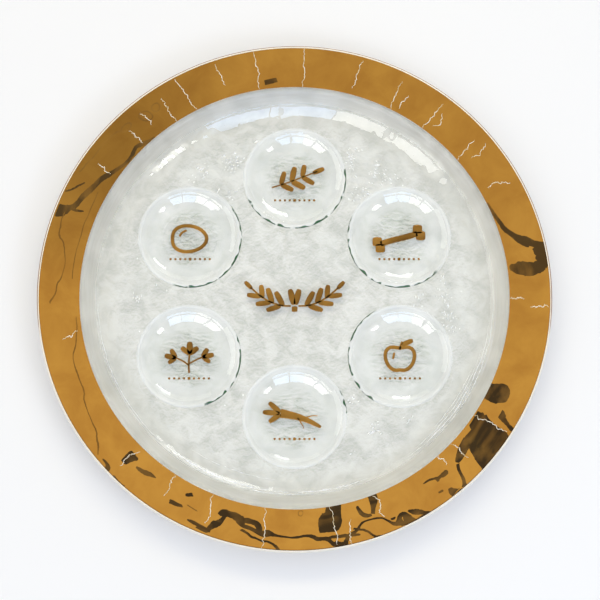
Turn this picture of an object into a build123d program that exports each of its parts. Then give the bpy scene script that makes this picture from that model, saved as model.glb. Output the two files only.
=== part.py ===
"""A round glass seder plate: one slumped plate with a gold-banded rim, and six loose bowls in its well.

Millimetres, +Z up. The plate stands on Z = 0 with its axis on Z, and the reader sits on the -Y side.
"""

import math
import os

from build123d import *

# Each bowl is a small disc of sheet glass, slumped into a shallow mould
bowl_diameter = 82.5
bowl_height = 11.5
bowl_thickness = 3.0
bowl_wall_run = 8.8
bowl_bend_radius = 24.0

# The bowls stand in a ring on the well's flat floor, the first one at the back
bowl_names = ("bitter_herbs", "shank_bone", "haroset", "horseradish", "parsley", "egg")
first_bowl_angle = 90.0
bowl_gap = 13.5

# Their bases stay on the flat floor, and their lips reach a little way out over its bend
lip_overhang = 2.5

# The plate is a large disc of thicker sheet: flat floor, broad bend, sloping wall and gently rising rim
plate_thickness = 6.0
wall_run = 16.75
wall_rise = 17.0
floor_bend_radius = 38.0
rim_width = 35.6
rim_rise = 4.7
rim_bend_radius = 5.0
edge_radius = 1.0

# Gold is fired on the rim's upper face, between the rim's bend and the bare edge
gold_thickness = 0.15
gold_bend_clearance = 0.5
gold_edge_clearance = 0.3

# The bowls' spacing sets the ring, the ring sets the floor, and the floor sets the plate
bowl_count = len(bowl_names)
ring_radius = (bowl_diameter + bowl_gap) / (2 * math.sin(math.pi / bowl_count))
floor_radius = ring_radius + bowl_diameter / 2 - lip_overhang
wall_angle = math.atan2(wall_rise, wall_run)
rim_angle = math.atan2(rim_rise, rim_width)
wall_foot_radius = floor_radius + floor_bend_radius * math.tan(wall_angle / 2)
wall_head_radius = wall_foot_radius + wall_run
plate_radius = wall_head_radius + rim_width


def parallel(points, distance):
    """Return the corners of the line that runs at a distance to the left of a line of points."""
    steps = [(end - start).normalized() for start, end in zip(points, points[1:])]
    lefts = [Vector(-step.Y, step.X) for step in steps]
    pairs = zip([lefts[0], *lefts], [*lefts, lefts[-1]])
    shifts = [(one + other) * (distance / (1 + one.dot(other))) for one, other in pairs]
    return [point + shift for point, shift in zip(points, shifts)]


def sheet_section(centre_line, bends, thickness):
    """Return the half section of a round sheet of even thickness, bent along a centre line.

    X is the radius and Y the height. A bend is positive where the sheet turns upwards, so that its
    upper face has the tighter radius, and negative where it turns back down. The edge is half round.
    """
    half = thickness / 2
    tip = centre_line[-1] + (centre_line[-1] - centre_line[-2]).normalized() * half
    with BuildSketch() as section:
        with BuildLine():
            upper = FilletPolyline(*parallel(centre_line, half), radius=[abs(bend - half) for bend in bends])
            lower = FilletPolyline(*parallel(centre_line, -half), radius=[abs(bend + half) for bend in bends])
            ThreePointArc(upper @ 1, tip, lower @ 1)
            Line(lower @ 0, upper @ 0)
        make_face()
    return section.sketch


def turned(section):
    """Return the solid that a half section sweeps in one turn about Z."""
    return revolve(Plane.XZ * section, Axis.Z)


def make_bowl():
    """Return one bowl, standing on Z = 0: flat base, one broad bend and a fire-polished lip."""
    half = bowl_thickness / 2
    lip_radius = bowl_diameter / 2 - half
    centre_line = [
        Vector(0, half),
        Vector(lip_radius - bowl_wall_run, half),
        Vector(lip_radius, bowl_height - half),
    ]
    return turned(sheet_section(centre_line, [bowl_bend_radius], bowl_thickness))


# Centre line of the plate's sheet, carried past the edge so that the edge can be ground upright
plate_line = [
    Vector(0, plate_thickness / 2),
    Vector(wall_foot_radius, plate_thickness / 2),
    Vector(wall_head_radius, plate_thickness / 2 + wall_rise),
    Vector(plate_radius + rim_width, plate_thickness / 2 + wall_rise + 2 * rim_rise),
]


def make_plate():
    """Return the plate: the slumped sheet with its edge ground upright and both arrises rounded."""
    sheet = sheet_section(plate_line, [floor_bend_radius, -rim_bend_radius], plate_thickness)
    sheet_height = sheet.bounding_box().size.Y
    blank = Rectangle(plate_radius, sheet_height, align=(Align.MIN, Align.MIN))
    section = sheet & blank
    arrises = section.vertices().group_by(Axis.X)[-1]
    return turned(fillet(arrises, edge_radius))


def make_gold_band():
    """Return the gold layer, which lies face to face on the straight part of the rim's upper face."""
    corner, end = parallel(plate_line, plate_thickness / 2)[-2:]
    along = (end - corner).normalized()
    outward = Vector(-along.Y, along.X)
    bend_length = (rim_bend_radius + plate_thickness / 2) * math.tan((wall_angle - rim_angle) / 2)
    gold_outer_radius = plate_radius - edge_radius - gold_edge_clearance
    inner = corner + along * (bend_length + gold_bend_clearance)
    outer = corner + along * ((gold_outer_radius - corner.X) / along.X)
    lift = outward * gold_thickness
    return turned(make_face(Polyline(inner, outer, outer + lift, inner + lift, close=True)))


os.makedirs("parts", exist_ok=True)
export_step(make_plate(), "parts/glass_plate.step")
export_step(make_gold_band(), "parts/gold_rim_band.step")

bowl = make_bowl()
for index, name in enumerate(bowl_names):
    angle = math.radians(first_bowl_angle - index * 360 / bowl_count)
    seat = Pos(ring_radius * math.cos(angle), ring_radius * math.sin(angle), plate_thickness)
    export_step(seat * bowl, f"parts/{name}_bowl.step")
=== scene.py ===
"""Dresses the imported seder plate: slumped glass, a gold-banded rim and six clear bowls with gold marks.

Everything is in metres in the row's frame: the plate stands on Z = 0, its axis is Z and the reader is at -Y.
"""

import logging
import math
from dataclasses import dataclass
from enum import Enum
from functools import cached_property
from typing import Any, Callable

import bpy
import numpy as np
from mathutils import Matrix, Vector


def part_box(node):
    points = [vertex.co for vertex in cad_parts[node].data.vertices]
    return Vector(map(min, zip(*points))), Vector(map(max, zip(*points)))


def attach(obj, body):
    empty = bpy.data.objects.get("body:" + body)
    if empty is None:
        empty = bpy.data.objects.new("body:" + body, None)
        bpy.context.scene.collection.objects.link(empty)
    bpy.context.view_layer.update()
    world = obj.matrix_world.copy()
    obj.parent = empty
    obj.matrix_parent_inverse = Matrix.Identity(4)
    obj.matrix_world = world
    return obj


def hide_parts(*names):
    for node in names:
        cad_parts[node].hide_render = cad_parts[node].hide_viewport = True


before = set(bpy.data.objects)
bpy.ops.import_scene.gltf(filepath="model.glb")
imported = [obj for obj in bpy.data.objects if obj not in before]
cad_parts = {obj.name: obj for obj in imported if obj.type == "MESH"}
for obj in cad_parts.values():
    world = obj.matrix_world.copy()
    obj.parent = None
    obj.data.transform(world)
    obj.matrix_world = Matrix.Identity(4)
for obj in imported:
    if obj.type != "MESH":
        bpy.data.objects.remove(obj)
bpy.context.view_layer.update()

MM = 0.001
WHITE = "#FFFFFF"
SODA_LIME_IOR = 1.52
LOG = logging.getLogger("seder_plate")
Array = np.ndarray
Relief = Callable[[Array, Array, "Outline"], Array]
Ground = Callable[[Array, Array], Array]


def linear(hex_colour: str) -> tuple[float, float, float, float]:
    """Turn an sRGB hex colour into a linear one.

    Args:
        hex_colour: six hex digits after a hash sign.

    Returns:
        Red, green, blue and a full alpha, linear.
    """
    srgb = np.array([int(hex_colour[i : i + 2], 16) for i in (1, 3, 5)]) / 255
    rgb = np.where(srgb <= 0.04045, srgb / 12.92, ((srgb + 0.055) / 1.055) ** 2.4)
    return (*rgb.tolist(), 1.0)


def add(
    tree: bpy.types.NodeTree,
    kind: str,
    sockets: dict[Any, Any] | None = None,
    stops: tuple[tuple[float, str], ...] = (),
    **settings: Any,
) -> bpy.types.Node:
    """Add a node with its settings, its socket values and its links.

    Args:
        tree: the node tree.
        kind: Blender's name for the node type, without the ShaderNode in front.
        sockets: input name or number to a value, or to the output socket that feeds it.
        stops: place and hex colour of each stop, where the node holds a colour ramp.
        settings: properties of the node itself.

    Returns:
        The new node.
    """
    node = tree.nodes.new(f"ShaderNode{kind}")
    for name, value in settings.items():
        setattr(node, name, value)
    for index, (position, colour) in enumerate(stops):
        elements = node.color_ramp.elements
        element = elements[index] if index < len(elements) else elements.new(position)
        element.position = position
        element.color = linear(colour)
    for name, value in (sockets or {}).items():
        if isinstance(value, bpy.types.NodeSocket):
            tree.links.new(value, node.inputs[name])
        else:
            node.inputs[name].default_value = value
    return node


def per_metre(size: float) -> float:
    """Return a noise scale on Object coordinates whose features are about this many metres wide."""
    return 1 / size


def blank_material(name: str) -> bpy.types.Material:
    """Make a new material with an empty node tree.

    Args:
        name: the material's name.

    Returns:
        The material.
    """
    material = bpy.data.materials.new(name)
    material.use_nodes = True
    material.node_tree.nodes.clear()
    return material


@dataclass(frozen=True)
class Ripple:
    """Smooth random relief: a sum of plane waves of about one wavelength, in random directions."""

    wavelength: float
    height: float
    seed: int
    waves: int = 24

    def at(self, x: Array, y: Array) -> Array:
        """Return the relief over a plane.

        Args:
            x: first coordinate of each point.
            y: second coordinate of each point.

        Returns:
            Heights with the named root mean square.
        """
        rng = np.random.default_rng(self.seed)
        heading = rng.uniform(0, 2 * np.pi, self.waves)
        number = 2 * np.pi / (self.wavelength * rng.uniform(0.75, 1.35, self.waves))
        phase = rng.uniform(0, 2 * np.pi, self.waves)
        along = x[..., None] * np.cos(heading) + y[..., None] * np.sin(heading)
        return self.height * math.sqrt(2 / self.waves) * np.cos(along * number + phase).sum(axis=-1)


class Side(Enum):
    """Which face of a sheet a stretch of its outline lies on."""

    UPPER = 0
    EDGE = 1
    LOWER = 2


@dataclass(frozen=True)
class Outline:
    """Half section of a round sheet, from the axis over the top, round the edge and back underneath.

    Each point has a radius and a height, the outward normal, its side and its length along the sheet.
    """

    radius: Array
    height: Array
    out_radius: Array
    out_height: Array
    side: Array
    along: Array


@dataclass(frozen=True)
class Sheet:
    """A round sheet of even thickness, bent along a line of straight runs and tangent bends.

    A bend has a radius and the slope that follows it. The edge is a superellipse of the named depth and power.
    """

    thickness: float
    runs: tuple[float, ...]
    bends: tuple[tuple[float, float], ...]
    edge_depth: float
    edge_power: float

    def centre_line(self, run_steps: tuple[int, ...], bend_steps: int) -> tuple[Array, Array, Array, Array]:
        """Follow the middle of the sheet: its slope is constant on a run and grows evenly round a bend.

        Args:
            run_steps: samples on each straight run.
            bend_steps: samples on each bend.

        Returns:
            Length along the sheet, radius, height and slope.
        """
        marks, slopes, counts = [0.0], [0.0], []
        for index, run in enumerate(self.runs):
            marks.append(marks[-1] + run)
            slopes.append(slopes[-1])
            counts.append(run_steps[index])
            if index < len(self.bends):
                bend_radius, slope = self.bends[index]
                marks.append(marks[-1] + bend_radius * abs(slope - slopes[-1]))
                slopes.append(slope)
                counts.append(bend_steps)
        spans = [np.linspace(a, b, n + 1) for a, b, n in zip(marks, marks[1:], counts)]
        along = np.unique(np.concatenate(spans).round(9))
        slope = np.interp(along, marks, slopes)
        step = np.diff(along)
        middle = (slope[1:] + slope[:-1]) / 2
        radius = np.concatenate([[0.0], np.cumsum(step * np.cos(middle))])
        height = np.concatenate([[0.0], np.cumsum(step * np.sin(middle))]) + self.thickness / 2
        return along, radius, height, slope

    def outline(self, run_steps: tuple[int, ...], bend_steps: int, edge_steps: int) -> Outline:
        """Set both faces half a thickness off the centre line, and close them with a superellipse edge.

        Args:
            run_steps: samples on each straight run.
            bend_steps: samples on each bend.
            edge_steps: samples round the edge.

        Returns:
            The closed half section.
        """
        along, radius, height, slope = self.centre_line(run_steps, bend_steps)
        half = self.thickness / 2
        turn = np.linspace(np.pi / 2, -np.pi / 2, edge_steps + 2)[1:-1]
        reach = self.edge_depth * np.cos(turn) ** (2 / self.edge_power)
        rise = half * np.sign(np.sin(turn)) * np.abs(np.sin(turn)) ** (2 / self.edge_power)
        end_cos, end_sin = np.cos(slope[-1]), np.sin(slope[-1])
        edge_radius = radius[-1] + reach * end_cos - rise * end_sin
        edge_height = height[-1] + reach * end_sin + rise * end_cos
        lean = slope[-1] + turn
        return Outline(
            radius=np.concatenate([radius - half * np.sin(slope), edge_radius, (radius + half * np.sin(slope))[::-1]]),
            height=np.concatenate([height + half * np.cos(slope), edge_height, (height - half * np.cos(slope))[::-1]]),
            out_radius=np.concatenate([-np.sin(slope), np.cos(lean), np.sin(slope)[::-1]]),
            out_height=np.concatenate([np.cos(slope), np.sin(lean), -np.cos(slope)[::-1]]),
            side=np.repeat([Side.UPPER.value, Side.EDGE.value, Side.LOWER.value], [len(along), edge_steps, len(along)]),
            along=np.concatenate([along, np.full(edge_steps, along[-1]), along[::-1]]),
        )


@dataclass
class Surface:
    """Points of a mesh, arrays of faces with equal corners, a material number per face and a tone per point."""

    points: Array
    faces: list[Array]
    numbers: Array
    tones: Array | None = None
    smooth: bool = True


def smoothstep(low: float, high: float, value: Array) -> Array:
    """Return 0 below low, 1 above high and a smooth rise between."""
    t = np.clip((value - low) / (high - low), 0, 1)
    return t * t * (3 - 2 * t)


def turned(
    outline: Outline, segments: int, centre: Array, relief: Relief, number_of: Array, tone: Relief | None = None
) -> Surface:
    """Turn a half section about an upright axis, moving each point along its normal by a relief.

    Args:
        outline: the closed half section, which starts and ends on the axis.
        segments: steps in a full turn.
        centre: foot of the axis.
        relief: gives the shift at points x, y about the axis.
        number_of: material number of each row of the outline.
        tone: gives the tone at points x, y about the axis, if the surface has one.

    Returns:
        The closed surface, with one point at each pole.
    """
    azimuth = np.linspace(0, 2 * np.pi, segments, endpoint=False)
    radius, height = outline.radius[:, None], outline.height[:, None]
    shift = relief(radius * np.cos(azimuth), radius * np.sin(azimuth), outline)
    moved = radius + outline.out_radius[:, None] * shift
    lifted = height + outline.out_height[:, None] * shift
    grid = np.stack([moved * np.cos(azimuth), moved * np.sin(azimuth), lifted], axis=-1)
    poles = grid[[0, -1]].mean(axis=1) * (0, 0, 1)
    points = np.concatenate([poles[:1], grid[1:-1].reshape(-1, 3), poles[1:]]) + centre
    rings = len(outline.radius) - 2
    index = 1 + np.arange(rings * segments).reshape(rings, segments)
    after = np.roll(index, -1, axis=1)
    quads = np.stack([index[:-1], index[1:], after[1:], after[:-1]], axis=-1).reshape(-1, 4)
    last = len(points) - 1
    top = np.stack([np.zeros(segments, int), index[0], after[0]], axis=-1)
    bottom = np.stack([index[-1], np.full(segments, last), after[-1]], axis=-1)
    numbers = np.concatenate([
        np.repeat(number_of[1:-2], segments),
        np.full(segments, number_of[0]),
        np.full(segments, number_of[-1]),
    ])
    faces = [quads, top, bottom]
    if tone is None:
        return Surface(points, faces, numbers)
    shades = tone(radius * np.cos(azimuth), radius * np.sin(azimuth), outline)
    return Surface(points, faces, numbers, np.concatenate([shades[0, :1], shades[1:-1].ravel(), shades[-1, :1]]))


def ribbon(path: Array, half_width: Array, ground: Ground, height: float, closed: bool) -> Surface:
    """Carry a low four-sided section along a path in plan.

    Args:
        path: points x, y along the middle.
        half_width: half the width at each point.
        ground: gives the height of the face that it lies on, at points x, y.
        height: how far it stands proud.
        closed: whether the path is a loop.

    Returns:
        The closed surface.
    """
    ahead = np.roll(path, -1, axis=0) - np.roll(path, 1, axis=0) if closed else np.gradient(path, axis=0)
    ahead /= np.linalg.norm(ahead, axis=1, keepdims=True)
    left = np.stack([-ahead[:, 1], ahead[:, 0]], axis=1)
    shares = np.array([1.0, 0.86, -0.86, -1.0])
    lifts = np.array([-0.4, 1.0, 1.0, -0.4]) * height
    plan = path[:, None, :] + left[:, None, :] * (half_width[:, None] * shares)[..., None]
    level = ground(plan[..., 0], plan[..., 1]) + lifts
    points = np.concatenate([plan, level[..., None]], axis=-1).reshape(-1, 3)
    index = np.arange(len(points)).reshape(-1, 4)
    ahead_index = np.roll(index, -1, axis=0)
    rows = slice(None) if closed else slice(0, -1)
    side = np.roll(index, -1, axis=1)
    ahead_side = np.roll(ahead_index, -1, axis=1)
    quads = np.stack([index, side, ahead_side, ahead_index], axis=-1)[rows].reshape(-1, 4)
    if not closed:
        quads = np.concatenate([quads, index[-1:], index[:1, ::-1]])
    return Surface(points, [quads], np.zeros(len(quads), int))


def joined(surfaces: list[Surface]) -> Surface:
    """Put several surfaces into one, with their faces renumbered.

    Args:
        surfaces: surfaces without tones.

    Returns:
        The one surface.
    """
    starts = np.cumsum([0] + [len(s.points) for s in surfaces])
    faces = [group + start for s, start in zip(surfaces, starts) for group in s.faces]
    return Surface(np.concatenate([s.points for s in surfaces]), faces, np.concatenate([s.numbers for s in surfaces]))


def make_object(name: str, surface: Surface, materials: list[bpy.types.Material]) -> bpy.types.Object:
    """Put a surface into an object at the origin.

    Args:
        name: the object's name.
        surface: its points and faces.
        materials: its material slots, in the order of the surface's numbers.

    Returns:
        The object, linked to the scene.
    """
    mesh = bpy.data.meshes.new(name)
    mesh.from_pydata(surface.points.tolist(), [], sum((group.tolist() for group in surface.faces), []))
    mesh.polygons.foreach_set("use_smooth", np.full(len(surface.numbers), surface.smooth))
    mesh.polygons.foreach_set("material_index", surface.numbers.astype(np.int32))
    if surface.tones is not None:
        mesh.attributes.new("tone", "FLOAT", "POINT").data.foreach_set("value", surface.tones.astype(np.float32))
    for material in materials:
        mesh.materials.append(material)
    mesh.update()
    piece = bpy.data.objects.new(name, mesh)
    bpy.context.scene.collection.objects.link(piece)
    return piece


def place(piece: bpy.types.Object, body: str, slot: str, *nodes: str) -> None:
    """Let a piece ride on a body, hide the nodes that it stands for, and report it.

    Args:
        piece: the piece.
        body: the body that carries it.
        slot: its material slot; not used.
        nodes: the nodes that it replaces, if any.
    """
    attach(piece, body)
    if nodes:
        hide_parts(*nodes)
    LOG.info("%s rides on %s with %d faces", piece.name, body, len(piece.data.polygons))


def shine_through(tree: bpy.types.NodeTree, glass: bpy.types.Node, lamp_tint: str) -> None:
    """Finish a material of glass: lamps and matte faces look straight through it, and all other rays see the glass.

    Args:
        tree: the material's node tree.
        glass: the node that shades the glass.
        lamp_tint: the colour that light keeps on its way through.
    """
    rays = add(tree, "LightPath")
    lit = add(tree, "Math", {0: rays.outputs["Is Shadow Ray"], 1: rays.outputs["Is Diffuse Ray"]}, operation="MAXIMUM")
    clear = add(tree, "BsdfTransparent", {"Color": linear(lamp_tint)})
    mix = add(tree, "MixShader", {
        "Fac": lit.outputs["Value"], 1: glass.outputs["BSDF"], 2: clear.outputs["BSDF"],
    })
    add(tree, "OutputMaterial", {"Surface": mix.outputs["Shader"]})


@dataclass(frozen=True)
class SodaLimeGlass:
    """Soda-lime sheet glass: fire-polished, faintly green, with the kiln shelf's texture where it lay on it.

    Its cloudy patches run from the veil to the tint. A streak draws them out along rings, the deep colour is painted
    shade that dims the bend, and the grain gives creases with a bump and painted shade on one side.
    """

    name: str
    tint: str
    veil: str
    patch: float
    lamp_tint: str
    roughness: float = 0.0
    clearness: float = 1.0
    streak: float = 0.0
    # Painted shade: the colour that darkens the bend
    deep: str = ""
    grain: float = 0.0
    stretch: float = 1.0
    # Colour of the painted shade on one side of each crease
    crease: str = WHITE
    bump: float = 0.0

    def material(self) -> bpy.types.Material:
        """Build glass that lamps shine through: cloudy patches, and creases with a bump where it is textured.

        Returns:
            The material.
        """
        material = blank_material(self.name)
        tree = material.node_tree
        place_of = add(tree, "TexCoord").outputs["Object"]
        patches = add(tree, "TexNoise", {
            "Vector": self.drawn_out(tree, place_of) if self.streak else place_of,
            "Scale": per_metre(self.patch), "Detail": 5.0, "Roughness": 0.62, "Distortion": 0.6,
        }).outputs["Fac"]
        colour = add(tree, "ValToRGB", {"Fac": patches}, ((0.36, self.veil), (0.62, self.tint))).outputs["Color"]
        glass = add(tree, "BsdfPrincipled", {
            "Base Color": colour, "Roughness": self.roughness, "IOR": SODA_LIME_IOR,
            "Transmission Weight": self.clearness,
        })
        # Painted shade: the bend is darkened by the deep colour
        if self.deep:
            self.paint_bend_shade(tree, glass, colour)
        if self.grain:
            self.press_shaded_creases(tree, glass, colour, place_of, patches)
        shine_through(tree, glass, self.lamp_tint)
        return material

    def drawn_out(self, tree: bpy.types.NodeTree, place_of: bpy.types.NodeSocket) -> bpy.types.NodeSocket:
        """Draw the patches out along rings: the radius, times patch over streak, takes the place of the height.

        Args:
            tree: the material's node tree.
            place_of: place on the piece.

        Returns:
            The place at which the patches are read.
        """
        plan = add(tree, "SeparateXYZ", {"Vector": place_of})
        flat = add(tree, "CombineXYZ", {"X": plan.outputs["X"], "Y": plan.outputs["Y"]})
        reach = add(tree, "VectorMath", {0: flat.outputs["Vector"]}, operation="LENGTH")
        rings = add(tree, "Math", {0: reach.outputs["Value"], 1: self.patch / self.streak}, operation="MULTIPLY")
        spread = add(tree, "CombineXYZ", {
            "X": plan.outputs["X"], "Y": plan.outputs["Y"], "Z": rings.outputs["Value"],
        })
        return spread.outputs["Vector"]

    def paint_bend_shade(self, tree: bpy.types.NodeTree, glass: bpy.types.Node, colour: bpy.types.NodeSocket) -> None:
        """Paint shade on the bend: multiply the colour by the deep one where the piece's tone is low, which is on its
        bend.

        Args:
            tree: the material's node tree.
            glass: the node that shades the glass.
            colour: its colour so far.
        """
        tone = add(tree, "Attribute", attribute_name="tone")
        bent = add(tree, "MapRange", {
            "Value": tone.outputs["Fac"], "From Min": 0.25, "From Max": 1.0, "To Min": 1.0, "To Max": 0.0,
        })
        bend_shaded = add(tree, "Mix", {
            "Factor": bent.outputs["Result"], "A": colour, "B": linear(self.deep),
        }, data_type="RGBA", blend_type="MULTIPLY")
        tree.links.new(bend_shaded.outputs["Result"], glass.inputs["Base Color"])

    def press_shaded_creases(
        self,
        tree: bpy.types.NodeTree,
        glass: bpy.types.Node,
        colour: bpy.types.NodeSocket,
        place_of: bpy.types.NodeSocket,
        patches: bpy.types.NodeSocket,
    ) -> None:
        """Press creases into the glass: a noise gives the bump, and its fall over a short step paints shade on one side
        of each crease, as if light came from one direction.

        They are strongest in the cloudy patches and where the piece's tone is high.

        Args:
            tree: the material's node tree.
            glass: the node that shades the glass.
            colour: its colour so far.
            place_of: place on the piece.
            patches: how clear the glass is there.
        """
        noise = {"Scale": per_metre(self.grain), "Detail": 3.0, "Roughness": 0.5, "Distortion": 0.9}
        here = add(tree, "VectorMath", {0: place_of, 1: (1 / self.stretch, 1.0, 1.0)}, operation="MULTIPLY")
        beside = add(tree, "VectorMath", {0: here.outputs["Vector"], 1: (0.0, 0.22 * self.grain, 0.0)}, operation="ADD")
        grains = add(tree, "TexNoise", {"Vector": here.outputs["Vector"], **noise})
        next_to = add(tree, "TexNoise", {"Vector": beside.outputs["Vector"], **noise})
        # Painted shade: the fall of the noise over a short step along Y darkens one side of each crease
        fall = add(tree, "Math", {0: grains.outputs["Fac"], 1: next_to.outputs["Fac"]}, operation="SUBTRACT")
        side = add(tree, "MapRange", {"Value": fall.outputs["Value"], "From Min": -0.1, "From Max": 0.1})
        lines = add(tree, "ValToRGB", {"Fac": side.outputs["Result"]}, ((0.0, self.crease), (1.0, WHITE)))
        gathered = add(tree, "MapRange", {
            "Value": patches, "From Min": 0.4, "From Max": 0.62, "To Min": 1.0, "To Max": 0.45,
        })
        tone = add(tree, "Attribute", attribute_name="tone")
        strength = add(tree, "Math", {0: tone.outputs["Fac"], 1: gathered.outputs["Result"]}, operation="MULTIPLY")
        share = strength.outputs["Value"]
        both = add(tree, "Mix", {
            "Factor": share, "A": colour, "B": lines.outputs["Color"],
        }, data_type="RGBA", blend_type="MULTIPLY")
        tree.links.new(both.outputs["Result"], glass.inputs["Base Color"])
        relief = add(tree, "Bump", {"Height": grains.outputs["Fac"], "Distance": self.bump, "Strength": share})
        tree.links.new(relief.outputs["Normal"], glass.inputs["Normal"])


@dataclass(frozen=True)
class PolishedLip:
    """A thin lip of sheet glass: a pale veil, painted as a highlight, with a dark green line of painted shade along
    some of it.
    """

    name: str
    pale: str
    green: str
    veil: float
    depth: float
    roughness: float = 0.25

    def material(self) -> bpy.types.Material:
        """Build the veil, a painted highlight, and the green painted shade, denser, where the piece's tone says so.

        Returns:
            The material.
        """
        material = blank_material(self.name)
        tree = material.node_tree
        tone = add(tree, "Attribute", attribute_name="tone")
        colour = add(tree, "ValToRGB", {"Fac": tone.outputs["Fac"]}, ((0.05, self.pale), (0.7, self.green)))
        density = add(tree, "MapRange", {"Value": tone.outputs["Fac"], "To Min": self.veil, "To Max": self.depth})
        glass = add(tree, "BsdfPrincipled", {
            "Base Color": colour.outputs["Color"], "Roughness": self.roughness, "IOR": SODA_LIME_IOR,
            "Alpha": density.outputs["Result"],
        })
        shine_through(tree, glass, WHITE)
        return material


@dataclass(frozen=True)
class FiredGold:
    """Liquid bright gold fired on glass: a mirror film, deep amber, with a brown margin painted as shade along its
    outer edge where one is named.
    """

    name: str
    light: str
    dark: str
    roughness: float
    grain: float
    bump: float
    cloud: float = 30 * MM
    # The brown margin is painted shade along the film's outer edge: its colour and the radii over which it comes in
    thin: str = ""
    margin_shade_from: float = 0.0
    margin_shade_to: float = 0.0

    def material(self) -> bpy.types.Material:
        """Build the metal: uneven in tone, with painted shade in brown towards the named radius where one is named, and
        a fine ripple.

        Returns:
            The material.
        """
        material = blank_material(self.name)
        tree = material.node_tree
        place_of = add(tree, "TexCoord").outputs["Object"]
        clouds = add(tree, "TexNoise", {
            "Vector": place_of, "Scale": per_metre(self.cloud), "Detail": 4.0, "Roughness": 0.6, "Distortion": 0.4,
        })
        body = add(tree, "ValToRGB", {"Fac": clouds.outputs["Fac"]}, ((0.35, self.dark), (0.65, self.light)))
        colour = body.outputs["Color"]
        # Painted shade: the colour turns brown towards the film's outer edge
        if self.thin:
            flat = add(tree, "VectorMath", {0: place_of, 1: (1.0, 1.0, 0.0)}, operation="MULTIPLY")
            radius = add(tree, "VectorMath", {0: flat.outputs["Vector"]}, operation="LENGTH")
            margin = add(tree, "MapRange", {
                "Value": radius.outputs["Value"], "From Min": self.margin_shade_from, "From Max": self.margin_shade_to,
            })
            colour = add(tree, "Mix", {
                "Factor": margin.outputs["Result"], "A": colour, "B": linear(self.thin),
            }, data_type="RGBA").outputs["Result"]
        fine = add(tree, "TexNoise", {"Vector": place_of, "Scale": per_metre(self.grain), "Detail": 2.0})
        relief = add(tree, "Bump", {"Height": fine.outputs["Fac"], "Distance": self.bump, "Strength": 1.0})
        metal = add(tree, "BsdfPrincipled", {
            "Base Color": colour, "Metallic": 1.0, "Roughness": self.roughness, "Normal": relief.outputs["Normal"],
        })
        add(tree, "OutputMaterial", {"Surface": metal.outputs["BSDF"]})
        return material


@dataclass(frozen=True)
class BareCrackle:
    """Opaque pale glass, for cracks in the gold, for painted highlights and for the ground edge: mottled, or toned by
    the piece where gold and painted shade run over it.
    """

    name: str
    light: str
    dark: str
    roughness: float = 0.2
    coat: float = 0.0
    toned: bool = False
    mottle: float = 4 * MM

    def material(self) -> bpy.types.Material:
        """Build the pale glass, creamier in places.

        Returns:
            The material.
        """
        material = blank_material(self.name)
        tree = material.node_tree
        if self.toned:
            tone = add(tree, "Attribute", attribute_name="tone")
        else:
            place_of = add(tree, "TexCoord").outputs["Object"]
            tone = add(tree, "TexNoise", {"Vector": place_of, "Scale": per_metre(self.mottle), "Detail": 2.0})
        colour = add(tree, "ValToRGB", {"Fac": tone.outputs["Fac"]}, ((0.35, self.dark), (0.6, self.light)))
        glass = add(tree, "BsdfPrincipled", {
            "Base Color": colour.outputs["Color"], "Roughness": self.roughness, "IOR": SODA_LIME_IOR,
            "Coat Weight": self.coat, "Coat Roughness": self.roughness,
        })
        add(tree, "OutputMaterial", {"Surface": glass.outputs["BSDF"]})
        return material


# Bright gold is a film of metal: a clean amber mirror, with a brown margin along its outer edge that is painted shade
GOLD = FiredGold(
    "fired_bright_gold", "#D2953D", "#C28535", roughness=0.003, grain=9 * MM, bump=0.001 * MM,
    thin="#7A5220", margin_shade_from=200.4 * MM, margin_shade_to=201.2 * MM,
)
# The marks are gold laid by brush: duller and more uneven than the band, so that they read as brown from above
MARK_GOLD = FiredGold("fired_gold_marks", "#B8843A", "#8A6028", roughness=0.16, grain=3 * MM, bump=0.03 * MM)
# Where the gold has parted, bare glass scatters the light: pale, glossy and a little creamy lines
CRACKLE = BareCrackle("bare_glass_crackle", "#F4ECDC", "#D8C49A")
# White glass for painted highlights: the lines on the bend and the flecks on the floor stand for glints of light
HIGHLIGHT_GLASS = BareCrackle("painted_highlight_glass", WHITE, "#E9ECEC")
# A ground edge is pale and dull, and brown on the far side, for gold carried over it and painted shade where the edge
# faces away from the light
GROUND_EDGE = BareCrackle("ground_glass_edge", "#F6EEDC", "#8E5A20", roughness=0.35, coat=0.4, toned=True)
# Fire polish leaves the sheet clear with sharp reflections, and the bend is a touch darker, as painted shade
PLATE_TOP = SodaLimeGlass("fire_polished_sheet_glass", "#FCFDFB", "#F7F9F6", 30 * MM, "#FCFDFC", deep="#F1F1EC")
# The wall touched the mould on its way down: a soft satin, faintly grey, with fine rings
PLATE_SATIN = SodaLimeGlass(
    "satin_sheet_glass", "#F0EFE5", "#E1DFD3", 30 * MM, "#FCFDFC", roughness=0.35, streak=1.6 * MM,
)
# The kiln shelf prints its grain on the underside, which shows through the glass as a mottled grey, with creases that
# carry painted shade on one side
PLATE_UNDER = SodaLimeGlass(
    "kiln_textured_sheet_glass", "#F6F3ED", "#D8D6CF", 16 * MM, "#F6F8F6", roughness=0.05, clearness=0.65,
    grain=3.6 * MM, crease="#E3E6E0", bump=0.25 * MM,
)
# Thin slumped glass has almost no colour and shows by its reflections alone
BOWL_WALL = SodaLimeGlass("clear_slumped_glass", "#FEFFFE", "#FAFCFA", 30 * MM, "#FEFEFE")
# The mould prints soft creases under the base, which break up what lies below it, and one side of each crease carries
# painted shade
BOWL_BASE = SodaLimeGlass(
    "mould_textured_glass", WHITE, "#F2F4F0", 12 * MM, "#FCFDFC", roughness=0.04, clearness=0.7,
    grain=4.5 * MM, stretch=2.0, crease="#CDD2C8", bump=0.45 * MM,
)
# The lip is a pale veil, a painted highlight, and along one arc of each bowl a broken dark green line, painted shade
# where the eye looks down the length of the sheet
BOWL_LIP = PolishedLip("lip_painted_highlight_and_shade", "#FAFCFA", "#0B4C1A", 0.3, 0.98)


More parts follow.
